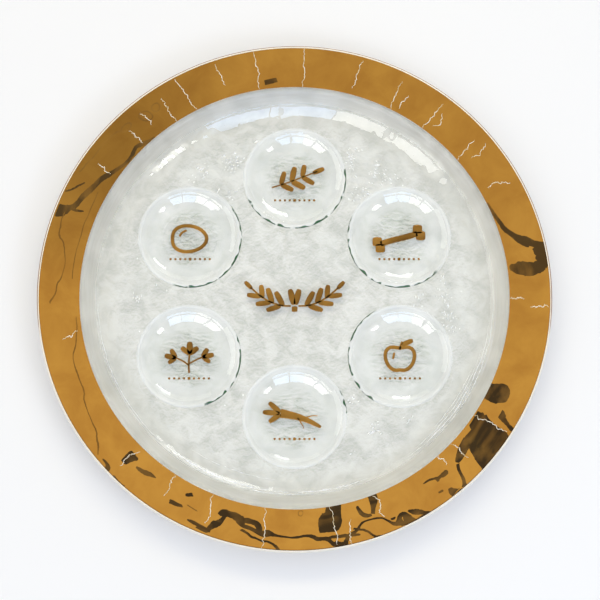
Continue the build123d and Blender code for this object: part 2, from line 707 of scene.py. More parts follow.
@dataclass(frozen=True)
class GlassPlate:
    """The plate: a flat floor, a sloping wall and a gently rising rim, bent from one sheet."""

    radius: float
    thickness: float = 6.0 * MM
    wall_run: float = 16.75 * MM
    wall_rise: float = 17.0 * MM
    floor_bend: float = 38.0 * MM
    satin_slope: float = 40.0
    rim_width: float = 35.6 * MM
    rim_rise: float = 4.7 * MM
    rim_bend: float = 5.0 * MM
    edge_depth: float = 0.9 * MM
    edge_power: float = 4.0
    ground_width: float = 2.6 * MM
    # Brown on the edge, gold carried over it and painted shade on the far side: its width and fringe, the sines of the
    # angles where it comes in, and how far up it starts
    gilt_and_shade_width: float = 1.25 * MM
    gilt_and_shade_fringe: float = 0.1 * MM
    gilt_and_shade_start: tuple[float, float] = (-0.35, 0.05)
    gilt_and_shade_up: tuple[float, float] = (0.0, 0.4)
    # Painted highlights, as white ridges on the bend and at the wall's foot: radius in millimetres, first and last
    # angle in degrees, width in millimetres
    lines: tuple[tuple[float, float, float, float], ...] = (
        (154.6, -130.0, -94.0, 1.3), (154.8, -100.0, -68.0, 0.7), (156.4, -114.0, -76.0, 0.35),
        (155.2, -56.0, -10.0, 0.6), (157.4, -46.0, 4.0, 0.45), (152.8, -52.0, -16.0, 0.35),
        (159.5, -40.0, 0.0, 0.3), (150.6, -44.0, -22.0, 0.25), (155.6, -178.0, -130.0, 0.35),
        (145.0, -124.0, -96.0, 0.45),
    )
    line_height: float = 0.05 * MM
    line_steps: int = 240
    line_seed: int = 7
    # White flecks, which are painted glints: how many are tried, on which shares of the floor's area, how they lie and
    # gather towards the lit side, and how large
    # they are: half lengths in millimetres, with a tail of longer ones, and widths as shares of the lengths
    flecks: int = 7000
    fleck_area: tuple[float, float] = (0.3, 0.98)
    fleck_turn: float = 0.4
    fleck_lean: float = 0.9
    fleck_odds: tuple[float, float] = (0.2, 2.9)
    fleck_half: tuple[float, float] = (0.4, 0.7)
    fleck_tail: float = 0.35
    fleck_slim: tuple[float, float] = (0.25, 0.45)
    fleck_height: float = 0.05 * MM
    fleck_clearance: float = 44 * MM
    fleck_seed: int = 19
    gather: Ripple = Ripple(22 * MM, 1.0, 33)
    bright_side: float = 48.0
    segments: int = 388
    # Relief: the rim's, with its liveliness all round and at the front, then the underside's and the bend's
    sink: float = 0.3 * MM
    lively_round: float = 0.7
    lively_front: float = 0.3
    swell: Ripple = Ripple(55 * MM, 0.012 * MM, 3)
    ripple: Ripple = Ripple(18 * MM, 0.0012 * MM, 11)
    crease: Ripple = Ripple(16 * MM, 1.0, 5)
    crease_share: float = 0.35
    crease_depth: float = 0.30 * MM
    dimple: Ripple = Ripple(7 * MM, 1.0, 8)
    dimple_depth: float = 0.12 * MM
    bend_wave: Ripple = Ripple(12 * MM, 0.06 * MM, 21)
    bend_fade: float = 0.75

    @property
    def wall_slope(self) -> float:
        """Slope of the straight part of the wall."""
        return math.atan2(self.wall_rise, self.wall_run)

    @property
    def rim_slope(self) -> float:
        """Slope of the rim, which rises towards its edge."""
        return math.atan2(self.rim_rise, self.rim_width)

    @property
    def rim_tangent(self) -> float:
        """Length that the rim's bend takes from the wall and from the rim."""
        return self.rim_bend * math.tan((self.wall_slope - self.rim_slope) / 2)

    @property
    def floor_tangent(self) -> float:
        """Length that the floor's bend takes from the floor and from the wall."""
        return self.floor_bend * math.tan(self.wall_slope / 2)

    @property
    def floor_radius(self) -> float:
        """Radius of the flat floor."""
        return self.radius - self.rim_width - self.wall_run - self.floor_tangent

    def sheet(self) -> Sheet:
        """Lay out the plate's sheet: a floor, a wall and a rim whose edge reaches the plate's radius.

        Returns:
            The sheet.
        """
        wall = math.hypot(self.wall_run, self.wall_rise) - self.floor_tangent - self.rim_tangent
        lean = self.thickness / 2 * math.sin(self.rim_slope)
        rim = math.hypot(self.rim_width, self.rim_rise) - self.rim_tangent - self.edge_depth - lean
        return Sheet(
            thickness=self.thickness,
            runs=(self.floor_radius, wall, rim),
            bends=((self.floor_bend, self.wall_slope), (self.rim_bend, self.rim_slope)),
            edge_depth=self.edge_depth,
            edge_power=self.edge_power,
        )

    def floor_height(self, x: Array, y: Array) -> Array:
        """Return the height of the floor's upper face."""
        return np.full_like(x, self.thickness)

    def rim_wave(self, x: Array, y: Array) -> Array:
        """Work out the ripple of the rim's upper face, livelier at the front, which fades out on the wall.

        Args:
            x: first coordinate of each point.
            y: second coordinate of each point.

        Returns:
            Heights, a little below the smooth face on the whole.
        """
        reach = np.hypot(x, y)
        share = smoothstep(self.radius - self.rim_width - self.wall_run / 2, self.radius - self.rim_width, reach)
        lively = self.lively_round - self.lively_front * y / np.maximum(reach, MM)
        return share * (lively * (self.swell.at(x, y) + self.ripple.at(x, y)) - self.sink)

    def rim_height(self, x: Array, y: Array) -> Array:
        """Return the height of the rim's upper face, without its ripple, at points on its straight part."""
        at_edge = self.thickness / 2 + self.wall_rise + self.rim_rise + self.thickness / 2 / math.cos(self.rim_slope)
        return at_edge - (self.radius - np.hypot(x, y)) * math.tan(self.rim_slope)

    def relief(self, x: Array, y: Array, outline: Outline) -> Array:
        """Return the shift of each point: ripples on the rim above, creases and dimples pressed in below.

        Args:
            x: first coordinate of each point.
            y: second coordinate of each point.
            outline: the section that the points belong to.

        Returns:
            Shift along the normal, inwards where it is negative.
        """
        reach = np.hypot(x, y)
        creases = np.exp(-((self.crease.at(x, y) / self.crease_share) ** 2))
        dimples = np.clip(self.dimple.at(x, y) + 1.5, 0, 3)
        pressed = -self.crease_depth * creases - self.dimple_depth * dimples
        on_floor = 1 - smoothstep(self.floor_radius, self.floor_radius + self.floor_tangent, reach)
        upward = np.clip(outline.out_height, 0, 1)[:, None] ** 2
        foot = self.floor_radius + self.floor_tangent
        on_bend = smoothstep(self.floor_radius, foot, reach) * (1 - smoothstep(foot, foot + self.floor_tangent, reach))
        above = self.rim_wave(x, y) * upward + on_bend * self.bend_wave.at(x, y)
        return np.where(outline.side[:, None] == Side.LOWER.value, pressed * on_floor, above)

    def tone(self, x: Array, y: Array, outline: Outline) -> Array:
        """Return how strong the kiln shelf's texture is, and where the edge is bare of its brown, which is gold and
        painted shade.

        Args:
            x: first coordinate of each point.
            y: second coordinate of each point.
            outline: the section that the points belong to.

        Returns:
            Tone from 0 to 1: texture, faint under the wall, and bareness on the edge's rows, none at the far brim,
                where the brown stands for gold and painted shade.
        """
        reach = np.hypot(x, y)
        texture = 1 - self.bend_fade * smoothstep(self.floor_radius, self.floor_radius + self.floor_tangent, reach)
        up = smoothstep(*self.gilt_and_shade_up, outline.out_height)[:, None]
        # Painted shade: the edge turns brown only on the far side, which faces away from the light
        far = smoothstep(*self.gilt_and_shade_start, y / np.maximum(reach, MM)) * up
        gilt_and_shade_from = self.radius - self.gilt_and_shade_width
        bare = 1 - far * smoothstep(gilt_and_shade_from - self.gilt_and_shade_fringe, gilt_and_shade_from, reach)
        return np.where(reach > self.radius - self.ground_width - MM, bare, texture)

    def build(self, keep_off: Array) -> None:
        """Build the plate and dress its faces: polished above, textured below.

        Args:
            keep_off: middle of each bowl, in plan.
        """
        outline = self.sheet().outline(run_steps=(32, 8, 40), bend_steps=22, edge_steps=9)
        at_edge = outline.radius > self.radius - self.ground_width
        on_wall = outline.along > self.floor_radius + self.floor_bend * math.radians(self.satin_slope)
        # The numbers follow the order of the materials
        numbers = np.select([at_edge, outline.side == Side.LOWER.value, on_wall], [2, 1, 3], 0)
        surface = turned(outline, self.segments, np.zeros(3), self.relief, numbers, self.tone)
        materials = [PLATE_TOP.material(), PLATE_UNDER.material(), GROUND_EDGE.material(), PLATE_SATIN.material()]
        piece = make_object("slumped_plate", surface, materials)
        place(piece, "plate", "plate_glass", "glass_plate")
        # White ridges near the wall's foot and flecks on the floor are painted highlights
        self.build_highlight_lines(outline)
        flecks = make_object("painted_glint_flecks", self.glint_fleck_surface(keep_off), [HIGHLIGHT_GLASS.material()])
        place(flecks, "plate", "plate_glass")

    def glint_fleck_surface(self, keep_off: Array) -> Surface:
        """Scatter white flecks over the floor as painted glints: low pyramids on narrow rhombs that lie along the
        rings.

        They gather where a broad ripple is high and towards the lit side, and keep clear of the bowls.

        Args:
            keep_off: middle of each bowl, in plan.

        Returns:
            The closed pyramids.
        """
        rng = np.random.default_rng(self.fleck_seed)
        reach = self.floor_radius * np.sqrt(rng.uniform(*self.fleck_area, self.flecks))
        azimuth = rng.uniform(-np.pi, np.pi, self.flecks)
        turn = azimuth + np.pi / 2 + rng.normal(0, self.fleck_turn, self.flecks)
        half = rng.uniform(*self.fleck_half, self.flecks) * MM + rng.exponential(self.fleck_tail, self.flecks) * MM
        slim = half * rng.uniform(*self.fleck_slim, self.flecks)
        middle = np.stack([reach * np.cos(azimuth), reach * np.sin(azimuth)], axis=1)
        lean = self.fleck_lean * np.cos(azimuth - math.radians(self.bright_side))
        crowd = self.gather.at(middle[:, 0], middle[:, 1]) + lean
        apart = np.linalg.norm(middle[:, None] - keep_off[None], axis=2).min(axis=1)
        kept = (crowd > rng.uniform(*self.fleck_odds, self.flecks)) & (apart > self.fleck_clearance)
        along = np.stack([np.cos(turn), np.sin(turn)], axis=1) * half[:, None]
        across = np.stack([-np.sin(turn), np.cos(turn)], axis=1) * slim[:, None]
        plan = middle[:, None] + np.stack([along, across, -along, -across, 0 * along], axis=1)
        height = np.broadcast_to(self.thickness + self.fleck_height * np.array([0, 0, 0, 0, 1.0]), plan.shape[:2])
        points = np.concatenate([plan, height[..., None]], axis=2)[kept]
        first = 5 * np.arange(len(points))[:, None, None]
        sides = (first + np.array([(0, 1, 4), (1, 2, 4), (2, 3, 4), (3, 0, 4)])).reshape(-1, 3)
        feet = first[:, 0] + np.array([3, 2, 1, 0])
        return Surface(points.reshape(-1, 3), [sides, feet], np.zeros(len(sides) + len(feet), int), smooth=False)

    def build_highlight_lines(self, outline: Outline) -> None:
        """Build the white ridges near where the satin wall starts, which are painted highlights.

        Args:
            outline: the plate's section, which gives the height of its upper face.
        """
        upper = outline.side == Side.UPPER.value
        lines = joined([
            self.highlight_line(index, lambda x, y: np.interp(np.hypot(x, y), outline.radius[upper], outline.height[upper]))
            for index in range(len(self.lines))
        ])
        place(make_object("painted_highlight_lines", lines, [HIGHLIGHT_GLASS.material()]), "plate", "plate_glass")

    def highlight_line(self, index: int, ground: Ground) -> Surface:
        """Carry a low ridge along an arc whose radius and width wander.

        Args:
            index: which of the lines.
            ground: gives the height of the plate's upper face.

        Returns:
            The closed ridge.
        """
        radius, start, end, width = self.lines[index]
        rng = np.random.default_rng(self.line_seed + index)
        angle = np.radians(np.linspace(start, end, self.line_steps))
        # Smoothed noise makes the radius wander and the width come and go
        wander = np.convolve(rng.normal(0, 0.4, self.line_steps), np.full(17, 0.12), "same")
        share = np.clip(np.convolve(rng.normal(0.4, 0.6, self.line_steps), np.full(13, 0.1), "same"), 0.06, 1.0)
        reach = (radius + wander) * MM
        path = np.stack([reach * np.cos(angle), reach * np.sin(angle)], axis=1)
        taper = np.sin(np.linspace(0.1, np.pi - 0.1, self.line_steps))
        return ribbon(path, share * width * MM * taper, ground, self.line_height, closed=False)


@dataclass(frozen=True)
class GoldBand:
    """The gold on the rim: a film that follows the rim's ripples, parted by jagged cracks."""

    plate: GlassPlate
    inner: float
    outer: float
    drift: float = 0.9 * MM
    seat: float = 0.02 * MM
    film: float = 0.12 * MM
    segments: int = 900
    rows: int = 32
    pale_rows: int = 6
    crack_width: float = 0.36 * MM
    crack_height: float = 0.08 * MM
    crack_steps: int = 26
    crack_wander: float = 0.5 * MM
    crack_jag: float = 0.22 * MM
    crack_spread: tuple[float, float] = (0.55, 1.25)
    crack_inset: float = 0.3 * MM
    crack_seed: int = 41
    # Cracks: angle in degrees, first and last place as shares of the band's width
    cracks: tuple[tuple[float, float, float], ...] = (
        (99.4, 0.0, 1.0), (87.7, 0.0, 1.0), (74.3, 0.15, 0.9), (63.5, 0.0, 0.75), (61.0, 0.1, 0.5),
        (52.7, 0.0, 0.8), (50.5, 0.2, 0.6), (40.7, 0.0, 0.65), (38.0, 0.3, 0.8), (28.9, 0.2, 0.75),
        (-1.0, 0.0, 0.35), (-3.0, 0.5, 0.95), (-33.9, 0.0, 0.9), (-43.9, 0.0, 0.55), (-48.7, 0.0, 0.3),
        (-68.5, 0.0, 0.6), (-80.4, 0.0, 0.95), (-77.0, 0.4, 1.0), (-97.2, 0.0, 1.0), (-111.1, 0.0, 0.75),
        (-122.6, 0.0, 0.6), (-134.8, 0.1, 0.7), (-169.4, 0.1, 0.5), (146.2, 0.2, 0.6), (134.6, 0.1, 0.55),
        (129.6, 0.3, 0.7), (123.9, 0.0, 0.7), (118.2, 0.0, 0.95), (108.5, 0.3, 0.9),
    )

    def build(self) -> None:
        """Build the film and its cracks, and dress them."""
        film = make_object("gold_film", self.film_surface(), [GOLD.material(), CRACKLE.material()])
        place(film, "plate", "fired_gold", "gold_rim_band")
        cracks = joined([self.crack_surface(index) for index in range(len(self.cracks))])
        place(make_object("gold_crackle", cracks, [CRACKLE.material()]), "plate", "plate_glass")

    def film_surface(self) -> Surface:
        """Carry a thin section round the rim: radius across, height from the rim's slope and ripple.

        The outer edge keeps off the plate's edge by a margin that grows with the sine of the angle, to the far side.

        Returns:
            The closed ring.
        """
        azimuth = np.linspace(0, 2 * np.pi, self.segments, endpoint=False)[:, None]
        share = np.concatenate([[0.0], np.linspace(0.001, 0.999, self.rows - 2), [1.0]])
        width = self.outer - self.drift * (0.5 + 0.5 * np.sin(azimuth)) - self.inner
        radius = self.inner + width * np.concatenate([share, share[::-1]])
        lift = np.repeat([self.seat, self.film], self.rows)[None, ::-1]
        x, y = radius * np.cos(azimuth), radius * np.sin(azimuth)
        z = self.plate.rim_height(x, y) + self.plate.rim_wave(x, y) + lift
        points = np.stack([x, y, z], axis=-1).reshape(-1, 3)
        index = np.arange(len(points)).reshape(self.segments, -1)
        after = np.roll(index, -1, axis=0)
        quads = np.stack([index, np.roll(index, -1, axis=1), np.roll(after, -1, axis=1), after], axis=-1).reshape(-1, 4)
        underside = np.arange(2 * self.rows) >= 2 * self.rows - self.pale_rows
        return Surface(points, [quads], np.tile(underside.astype(int), self.segments))

    def crack_surface(self, index: int) -> Surface:
        """Carry a low ridge along a jagged line that runs roughly outwards across the gold.

        Args:
            index: which of the cracks.

        Returns:
            The closed ridge, tapered at both ends.
        """
        azimuth, start, end = self.cracks[index]
        rng = np.random.default_rng(self.crack_seed + index)
        share = np.linspace(start, end, self.crack_steps)
        radius = self.inner + self.crack_inset + share * (self.outer - self.inner - 2 * self.crack_inset)
        sideways = np.cumsum(rng.normal(0, self.crack_wander, self.crack_steps))
        sideways = sideways + rng.normal(0, self.crack_jag, self.crack_steps)
        angle = math.radians(azimuth) + (sideways - sideways.mean()) / radius
        path = np.stack([radius * np.cos(angle), radius * np.sin(angle)], axis=1)
        taper = np.sin(np.linspace(0.12, np.pi - 0.12, self.crack_steps)) ** 0.4
        half_width = self.crack_width * taper * rng.uniform(*self.crack_spread, self.crack_steps)
        return ribbon(path, half_width, self.top, self.crack_height, closed=False)

    def top(self, x: Array, y: Array) -> Array:
        """Return the height of the gold's upper face."""
        return self.plate.rim_height(x, y) + self.plate.rim_wave(x, y) + self.film


class Nib(Enum):
    """How the width of a gold stroke runs along it."""

    EVEN = "even"
    LEAF = "leaf"
    ROOT = "root"
    DOT = "dot"

    def share(self, t: Array) -> Array:
        """Work out the width along a stroke: blunt ends, a leaf's sine, a taper to a tip or a circle.

        Args:
            t: places along the stroke, from 0 to 1.

        Returns:
            Shares of the full width.
        """
        ends = np.sqrt(np.clip(1 - (2 * t - 1) ** 10, 0.0, 1.0))
        shares = {
            Nib.EVEN: ends,
            Nib.LEAF: np.sin(np.pi * t) ** 0.8,
            Nib.ROOT: ends * (1 - 0.85 * t),
            Nib.DOT: np.sqrt(np.clip(1 - (2 * t - 1) ** 2, 0.0, 1.0)),
        }
        return np.maximum(shares[self], 0.03)


@dataclass(frozen=True)
class Stroke:
    """One stroke of gold in an ornament, in millimetres about the ornament's middle."""

    points: tuple[tuple[float, float], ...]
    width: float
    nib: Nib = Nib.EVEN
    closed: bool = False

    def path(self, count: int) -> Array:
        """Follow a uniform cubic B-spline through the stroke's control points.

        Args:
            count: points along the stroke.

        Returns:
            Points x, y in millimetres.
        """
        control = np.array(self.points, float)
        ends = (control[-1:], control[:2]) if self.closed else (control[[0, 0]], control[[-1, -1]])
        control = np.concatenate([ends[0], control, ends[1]])
        spans = len(control) - 3
        u = np.linspace(0, spans, count, endpoint=not self.closed)
        first = np.minimum(u.astype(int), spans - 1)
        f = u - first
        basis = np.stack([(1 - f) ** 3, 3 * f**3 - 6 * f**2 + 4, -3 * f**3 + 3 * f**2 + 3 * f + 1, f**3], axis=1) / 6
        return (basis[..., None] * control[first[:, None] + np.arange(4)]).sum(axis=1)

    def surface(self, centre: Array, scale: float, ground: Ground, height: float, count: int = 28) -> Surface:
        """Carry the stroke's low section along its path.

        Args:
            centre: the ornament's middle in plan.
            scale: metres for each unit of the stroke's points.
            ground: gives the height of the face that carries it.
            height: how far the gold stands proud.
            count: points along the stroke.

        Returns:
            The closed surface.
        """
        path = self.path(count) * scale + centre
        share = np.ones(count) if self.closed else self.nib.share(np.linspace(0, 1, count))
        return ribbon(path, share * self.width * scale / 2, ground, height, self.closed)


def leaf(x: float, y: float, turn: float, length: float, width: float) -> Stroke:
    """Return a leaf that grows from a point, in millimetres, towards a direction in degrees."""
    c, s = math.cos(math.radians(turn)), math.sin(math.radians(turn))
    return Stroke(tuple((x + share * length * c, y + share * length * s) for share in (0.0, 0.5, 1.0)), width, Nib.LEAF)


def dot(x: float, y: float, width: float) -> Stroke:
    """Return a round dot, in millimetres."""
    return Stroke(((x - width / 2, y), (x, y), (x + width / 2, y)), width, Nib.DOT)


def mirrored(strokes: tuple[Stroke, ...]) -> tuple[Stroke, ...]:
    """Return strokes with their mirror images across the upright line."""
    flipped = tuple(Stroke(tuple((-x, y) for x, y in s.points), s.width, s.nib, s.closed) for s in strokes)
    return strokes + flipped


class Ornament(Enum):
    """The gold marks: a plain picture of what each bowl holds, and a spray of leaves in the middle."""

    BITTER_HERBS = (
        Stroke(((-15, -5), (-5, -2), (5, 2), (15, 6)), 1.0),
        leaf(-9, -3, 75, 9, 3.6), leaf(-9, -3, -25, 9, 3.6), leaf(-2, -0.8, 78, 10, 4.0), leaf(-2, -0.8, -28, 10, 4.0),
        leaf(5, 2, 80, 8.5, 3.6), leaf(5, 2, -30, 9, 3.6), leaf(12, 4.8, 22, 8, 3.4),
    )
    SHANK_BONE = (
        Stroke(((-12, -3.5), (-4, -0.8), (4, 0.8), (12, 3.5)), 4.0),
        dot(-14.2, -2.0, 6.2), dot(-12.2, -6.2, 6.2), dot(14.2, 2.0, 6.2), dot(12.2, 6.2, 6.2),
    )
    HAROSET = (
        Stroke(((0, 5.5), (6, 8), (10.5, 3.5), (8.5, -5), (3.5, -9), (0, -7.6), (-3.5, -9), (-8.5, -5), (-10.5, 3.5),
                (-6, 8)), 2.4, closed=True),
        Stroke(((0, 5), (0.4, 8), (1.8, 10.5)), 1.5), leaf(1.2, 8.2, 24, 8, 3.4), leaf(-4.5, -1, 78, 4.5, 1.5),
    )
    HORSERADISH = (
        Stroke(((-9, 3), (0, 1.5), (9, -1.5), (17, -6)), 7.0, Nib.ROOT),
        leaf(-9, 3.4, 138, 10, 3.6), leaf(-9.5, 3, 176, 11, 3.6), leaf(-9, 2.4, 214, 9, 3.4),
        Stroke(((2, 0), (5, -4), (6, -7)), 1.2, Nib.ROOT), Stroke(((8, 0.4), (12, 1.8), (15, 1.2)), 1.1, Nib.ROOT),
    )
    PARSLEY = (
        Stroke(((0, -10), (-0.4, -4), (0.3, 3)), 1.3), Stroke(((-0.2, -5), (-4, -2), (-9, 0)), 1.1),
        Stroke(((0, -4), (4.4, -1.4), (9, 0.6)), 1.1),
        leaf(0.3, 2.4, 90, 8, 4.2), leaf(0.3, 2.4, 38, 7, 3.6), leaf(0.3, 2.4, 142, 7, 3.6),
        leaf(-8.6, -0.2, 120, 6.5, 3.4), leaf(-8.6, -0.2, 168, 7.5, 3.6), leaf(-8.6, -0.2, 215, 6, 3.0),
        leaf(8.6, 0.4, 60, 6.5, 3.4), leaf(8.6, 0.4, 12, 7.5, 3.6), leaf(8.6, 0.4, -35, 6, 3.0),
    )
    EGG = (
        Stroke(((-12, 0), (-11, 6.6), (-3, 9.6), (7, 7.2), (12.6, 0), (7, -7.2), (-3, -9.6), (-11, -6.6)), 2.4,
               closed=True),
        Stroke(((-7, 1.5), (-5.8, 4.2), (-2.4, 5.6)), 1.5),
    )
    MIDDLE = mirrored((
        Stroke(((3, -7), (12, -7), (24, -2), (35, 8)), 1.5),
        leaf(9, -6.8, 62, 13, 4.8), leaf(11, -6.8, -18, 12, 4.4), leaf(17.5, -4.8, 72, 13, 4.8),
        leaf(19, -4.2, -6, 12, 4.4), leaf(25.5, -0.8, 84, 11, 4.4), leaf(27, 0.6, 8, 11, 4.2), leaf(34, 7, 46, 8, 3.6),
        leaf(0.6, -6, 76, 13, 5.0),
    )) + (dot(0, -9.5, 4.6),)


@dataclass(frozen=True)
class MarkSet:
    """Lays one ornament in gold on a flat floor of glass."""

    height: float = 0.05 * MM
    scale: float = MM
    rule_drop: float = -13.6
    rule_step: float = 3.2
    rule_dots: int = 0
    dot_width: float = 1.4
    middle_dot_width: float = 1.9

    def build(self, name: str, ornament: Ornament, body: str, centre: Array, ground: Ground) -> None:
        """Build an ornament and a short row of dots under it.

        Args:
            name: the piece's name.
            ornament: which picture.
            body: the body that it rides on.
            centre: its middle in plan.
            ground: gives the height of the glass.
        """
        middle = (self.rule_dots - 1) / 2
        widths = [self.middle_dot_width if k == middle else self.dot_width for k in range(self.rule_dots)]
        dots = [dot((k - middle) * self.rule_step, self.rule_drop, width) for k, width in enumerate(widths)]
        strokes = [*ornament.value, *dots]
        surface = joined([stroke.surface(centre, self.scale, ground, self.height) for stroke in strokes])
        place(make_object(name, surface, [MARK_GOLD.material()]), body, "fired_gold")


@dataclass(frozen=True)
class GlassBowl:
    """One loose bowl: a flat base, a rounded bend, a steep wall and a fire-polished lip."""

    name: str
    ornament: Ornament
    seed: int
    green_shade_middle: float
    green_shade_reach: float
    thickness: float = 3.0 * MM
    wall_run: float = 8.8 * MM
    bend: float = 24.0 * MM
    lip_width: float = 1.6 * MM
    unevenness: float = 0.14 * MM
    print_depth: float = 0.05 * MM
    segments: int = 264
    marks: MarkSet = MarkSet(scale=1.22 * MM, rule_dots=9)

    @cached_property
    def box(self) -> tuple[Array, Array]:
        """Lowest and highest corner of the bowl's node."""
        low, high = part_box(self.name)
        return np.array(low), np.array(high)

    @property
    def middle(self) -> Array:
        """Middle of the bowl, in plan."""
        low, high = self.box
        return ((low + high) / 2)[:2]

    def sheet(self) -> Sheet:
        """Lay out the bowl's sheet, sized to its node.

        Returns:
            The sheet.
        """
        low, high = self.box
        half = self.thickness / 2
        lip = (high[0] - low[0]) / 2 - half
        rise = high[2] - low[2] - self.thickness
        slope = math.atan2(rise, self.wall_run)
        tangent = self.bend * math.tan(slope / 2)
        return Sheet(
            thickness=self.thickness,
            runs=(lip - self.wall_run - tangent, math.hypot(rise, self.wall_run) - tangent),
            bends=((self.bend, slope),),
            edge_depth=half,
            edge_power=2.0,
        )

    def relief(self, x: Array, y: Array, outline: Outline) -> Array:
        """Return the hand-made unevenness of the wall, and the mould's faint print under the base.

        Args:
            x: first coordinate of each point.
            y: second coordinate of each point.
            outline: the section that the points belong to.

        Returns:
            Shift along the normal, never outwards past the lip or below the base.
        """
        sheet = self.sheet()
        azimuth = np.arctan2(y, x)
        rng = np.random.default_rng(self.seed)
        waves = sum(
            rng.uniform(0.4, 1.0) / k * np.cos(k * azimuth + rng.uniform(0, 2 * np.pi)) for k in range(2, 8)
        )
        on_wall = smoothstep(sheet.runs[0], outline.along.max(), outline.along)[:, None]
        side = outline.side[:, None]
        sign = np.where(side == Side.LOWER.value, -1.0, np.where(side == Side.UPPER.value, 1.0, 0.0))
        ripple = Ripple(8 * MM, 0.03 * MM, self.seed + 70).at(x, y) * np.sqrt(on_wall * (1 - on_wall))
        uneven = (self.unevenness * on_wall * waves + ripple) * sign
        on_base = (1 - smoothstep(sheet.runs[0] * 0.9, sheet.runs[0] * 1.05, outline.along))[:, None]
        print_mark = self.print_depth * np.clip(Ripple(5 * MM, 1.0, self.seed + 50).at(x, y) + 2.2, 0.8, 4)
        return np.where(side == Side.LOWER.value, uneven - on_base * print_mark, uneven)

    def tone(self, x: Array, y: Array, outline: Outline) -> Array:
        """Return where the lip carries green painted shade, a thin broken line along one arc, and how strong the base's
        texture is.

        Args:
            x: first coordinate of each point.
            y: second coordinate of each point.
            outline: the section that the points belong to.

        Returns:
            Tone from 0 to 1: green painted shade on the lip's rows, texture on the others.
        """
        azimuth = np.arctan2(y, x)
        # Painted shade: the lip's green line is kept to one arc of each bowl
        off = np.abs((azimuth - math.radians(self.green_shade_middle) + np.pi) % (2 * np.pi) - np.pi)
        arc = 1 - smoothstep(0.85 * math.radians(self.green_shade_reach), 1.05 * math.radians(self.green_shade_reach), off)
        lean = np.degrees(np.arctan2(outline.out_height, outline.out_radius))[:, None]
        rng = np.random.default_rng(self.seed + 90)
        swell = sum(np.cos(k * azimuth + rng.uniform(0, 2 * np.pi)) for k in rng.integers(5, 36, 5))
        # The line starts below the lip's outermost point and ends, in degrees of lean, at an upper side that swells
        line = smoothstep(-60, -40, lean) * (1 - smoothstep(-8, 8, lean - 64 - 12 * swell))
        dashes = sum(np.cos(k * azimuth + rng.uniform(0, 2 * np.pi)) for k in rng.integers(7, 40, 7))
        flat = self.sheet().runs[0]
        texture = 1 - smoothstep(0.75 * flat, 1.35 * flat, np.hypot(x, y))
        return np.where(outline.side[:, None] == Side.EDGE.value, arc * line * smoothstep(-2.6, -1.6, dashes), texture)

    def build(self) -> None:
        """Build the bowl, dress its wall, base and lip, and lay its mark on its floor."""
        centre = np.array([*self.middle, self.box[0][2]])
        outline = self.sheet().outline(run_steps=(14, 4), bend_steps=24, edge_steps=14)
        below = outline.side == Side.LOWER.value
        lip_width = np.where(below, self.lip_width + 1.5 * self.thickness, self.lip_width)
        # The numbers follow the order of the materials
        numbers = np.where(outline.along > outline.along.max() - lip_width, 2, below)
        surface = turned(outline, self.segments, centre, self.relief, numbers, self.tone)
        piece = make_object(
            f"slumped_{self.name}", surface, [BOWL_WALL.material(), BOWL_BASE.material(), BOWL_LIP.material()]
        )
        place(piece, self.name, "bowl_glass", self.name)
        self.marks.build(f"gold_mark_{self.name}", self.ornament, self.name, centre[:2], self.floor_height)

    def floor_height(self, x: Array, y: Array) -> Array:
        """Work out the height of the bowl's upper face: level, then up along the circle of the bend.

        Args:
            x: first coordinate of each point.
            y: second coordinate of each point.

        Returns:
            Heights.
        """
        sheet = self.sheet()
        middle = self.middle
        bend = self.bend - self.thickness / 2
        past = np.hypot(x - middle[0], y - middle[1]) - sheet.runs[0]
        past = np.clip(past, 0, bend * math.sin(sheet.bends[0][1]))
        return self.box[0][2] + self.thickness + bend - np.sqrt(bend**2 - past**2)


class Sees(Enum):
    """Which rays see a panel of light."""

    MIRRORS = "mirrors"
    MATTE = "matte"


@dataclass(frozen=True)
class Pane:
    """A bright pane, as it is seen from the plate: directions in degrees, 0 at +X, 90 at +Y."""

    azimuth: tuple[float, float]
    elevation: tuple[float, float]
    colour: str
    strength: float
    sees: Sees = Sees.MIRRORS
    distance: float = 3.0

    def corners(self) -> Array:
        """Return its four corners, which lie on one plane because the pane is even about its middle."""
        a, e = np.radians(self.azimuth)[[0, 1, 1, 0]], np.radians(self.elevation)[[0, 0, 1, 1]]
        return self.distance * np.stack([np.cos(a) * np.cos(e), np.sin(a) * np.cos(e), np.sin(e)], axis=1)

    def material(self) -> bpy.types.Material:
        """Build an even glow, which the eye takes for a lit window.

        Returns:
            The material.
        """
        material = blank_material("window_pane")
        tree = material.node_tree
        light = add(tree, "Emission", {"Color": linear(self.colour), "Strength": self.strength})
        add(tree, "OutputMaterial", {"Surface": light.outputs["Emission"]})
        return material


@dataclass(frozen=True)
class Shade:
    """Dark things overhead that only mirrors see, as strokes in plan, in millimetres."""

    name: str
    dark: str
    light: str
    strokes: tuple[Stroke, ...]
    patch: float = 26 * MM

    def material(self) -> bpy.types.Material:
        """Build a dim glow, mottled as cloth and foliage are, which gives the eye a dark thing in a bright room.

        Returns:
            The material.
        """
        material = blank_material(self.name)
        tree = material.node_tree
        place_of = add(tree, "TexCoord").outputs["Object"]
        mottle = add(tree, "TexNoise", {"Vector": place_of, "Scale": per_metre(self.patch), "Detail": 3.0})
        colour = add(tree, "ValToRGB", {"Fac": mottle.outputs["Fac"]}, ((0.46, self.dark), (0.66, self.light)))
        light = add(tree, "Emission", {"Color": colour.outputs["Color"], "Strength": 1.0})
        add(tree, "OutputMaterial", {"Surface": light.outputs["Emission"]})
        return material


SKY_BLUE = "#C4DAFF"
DAYLIGHT = "#EEF4FF"


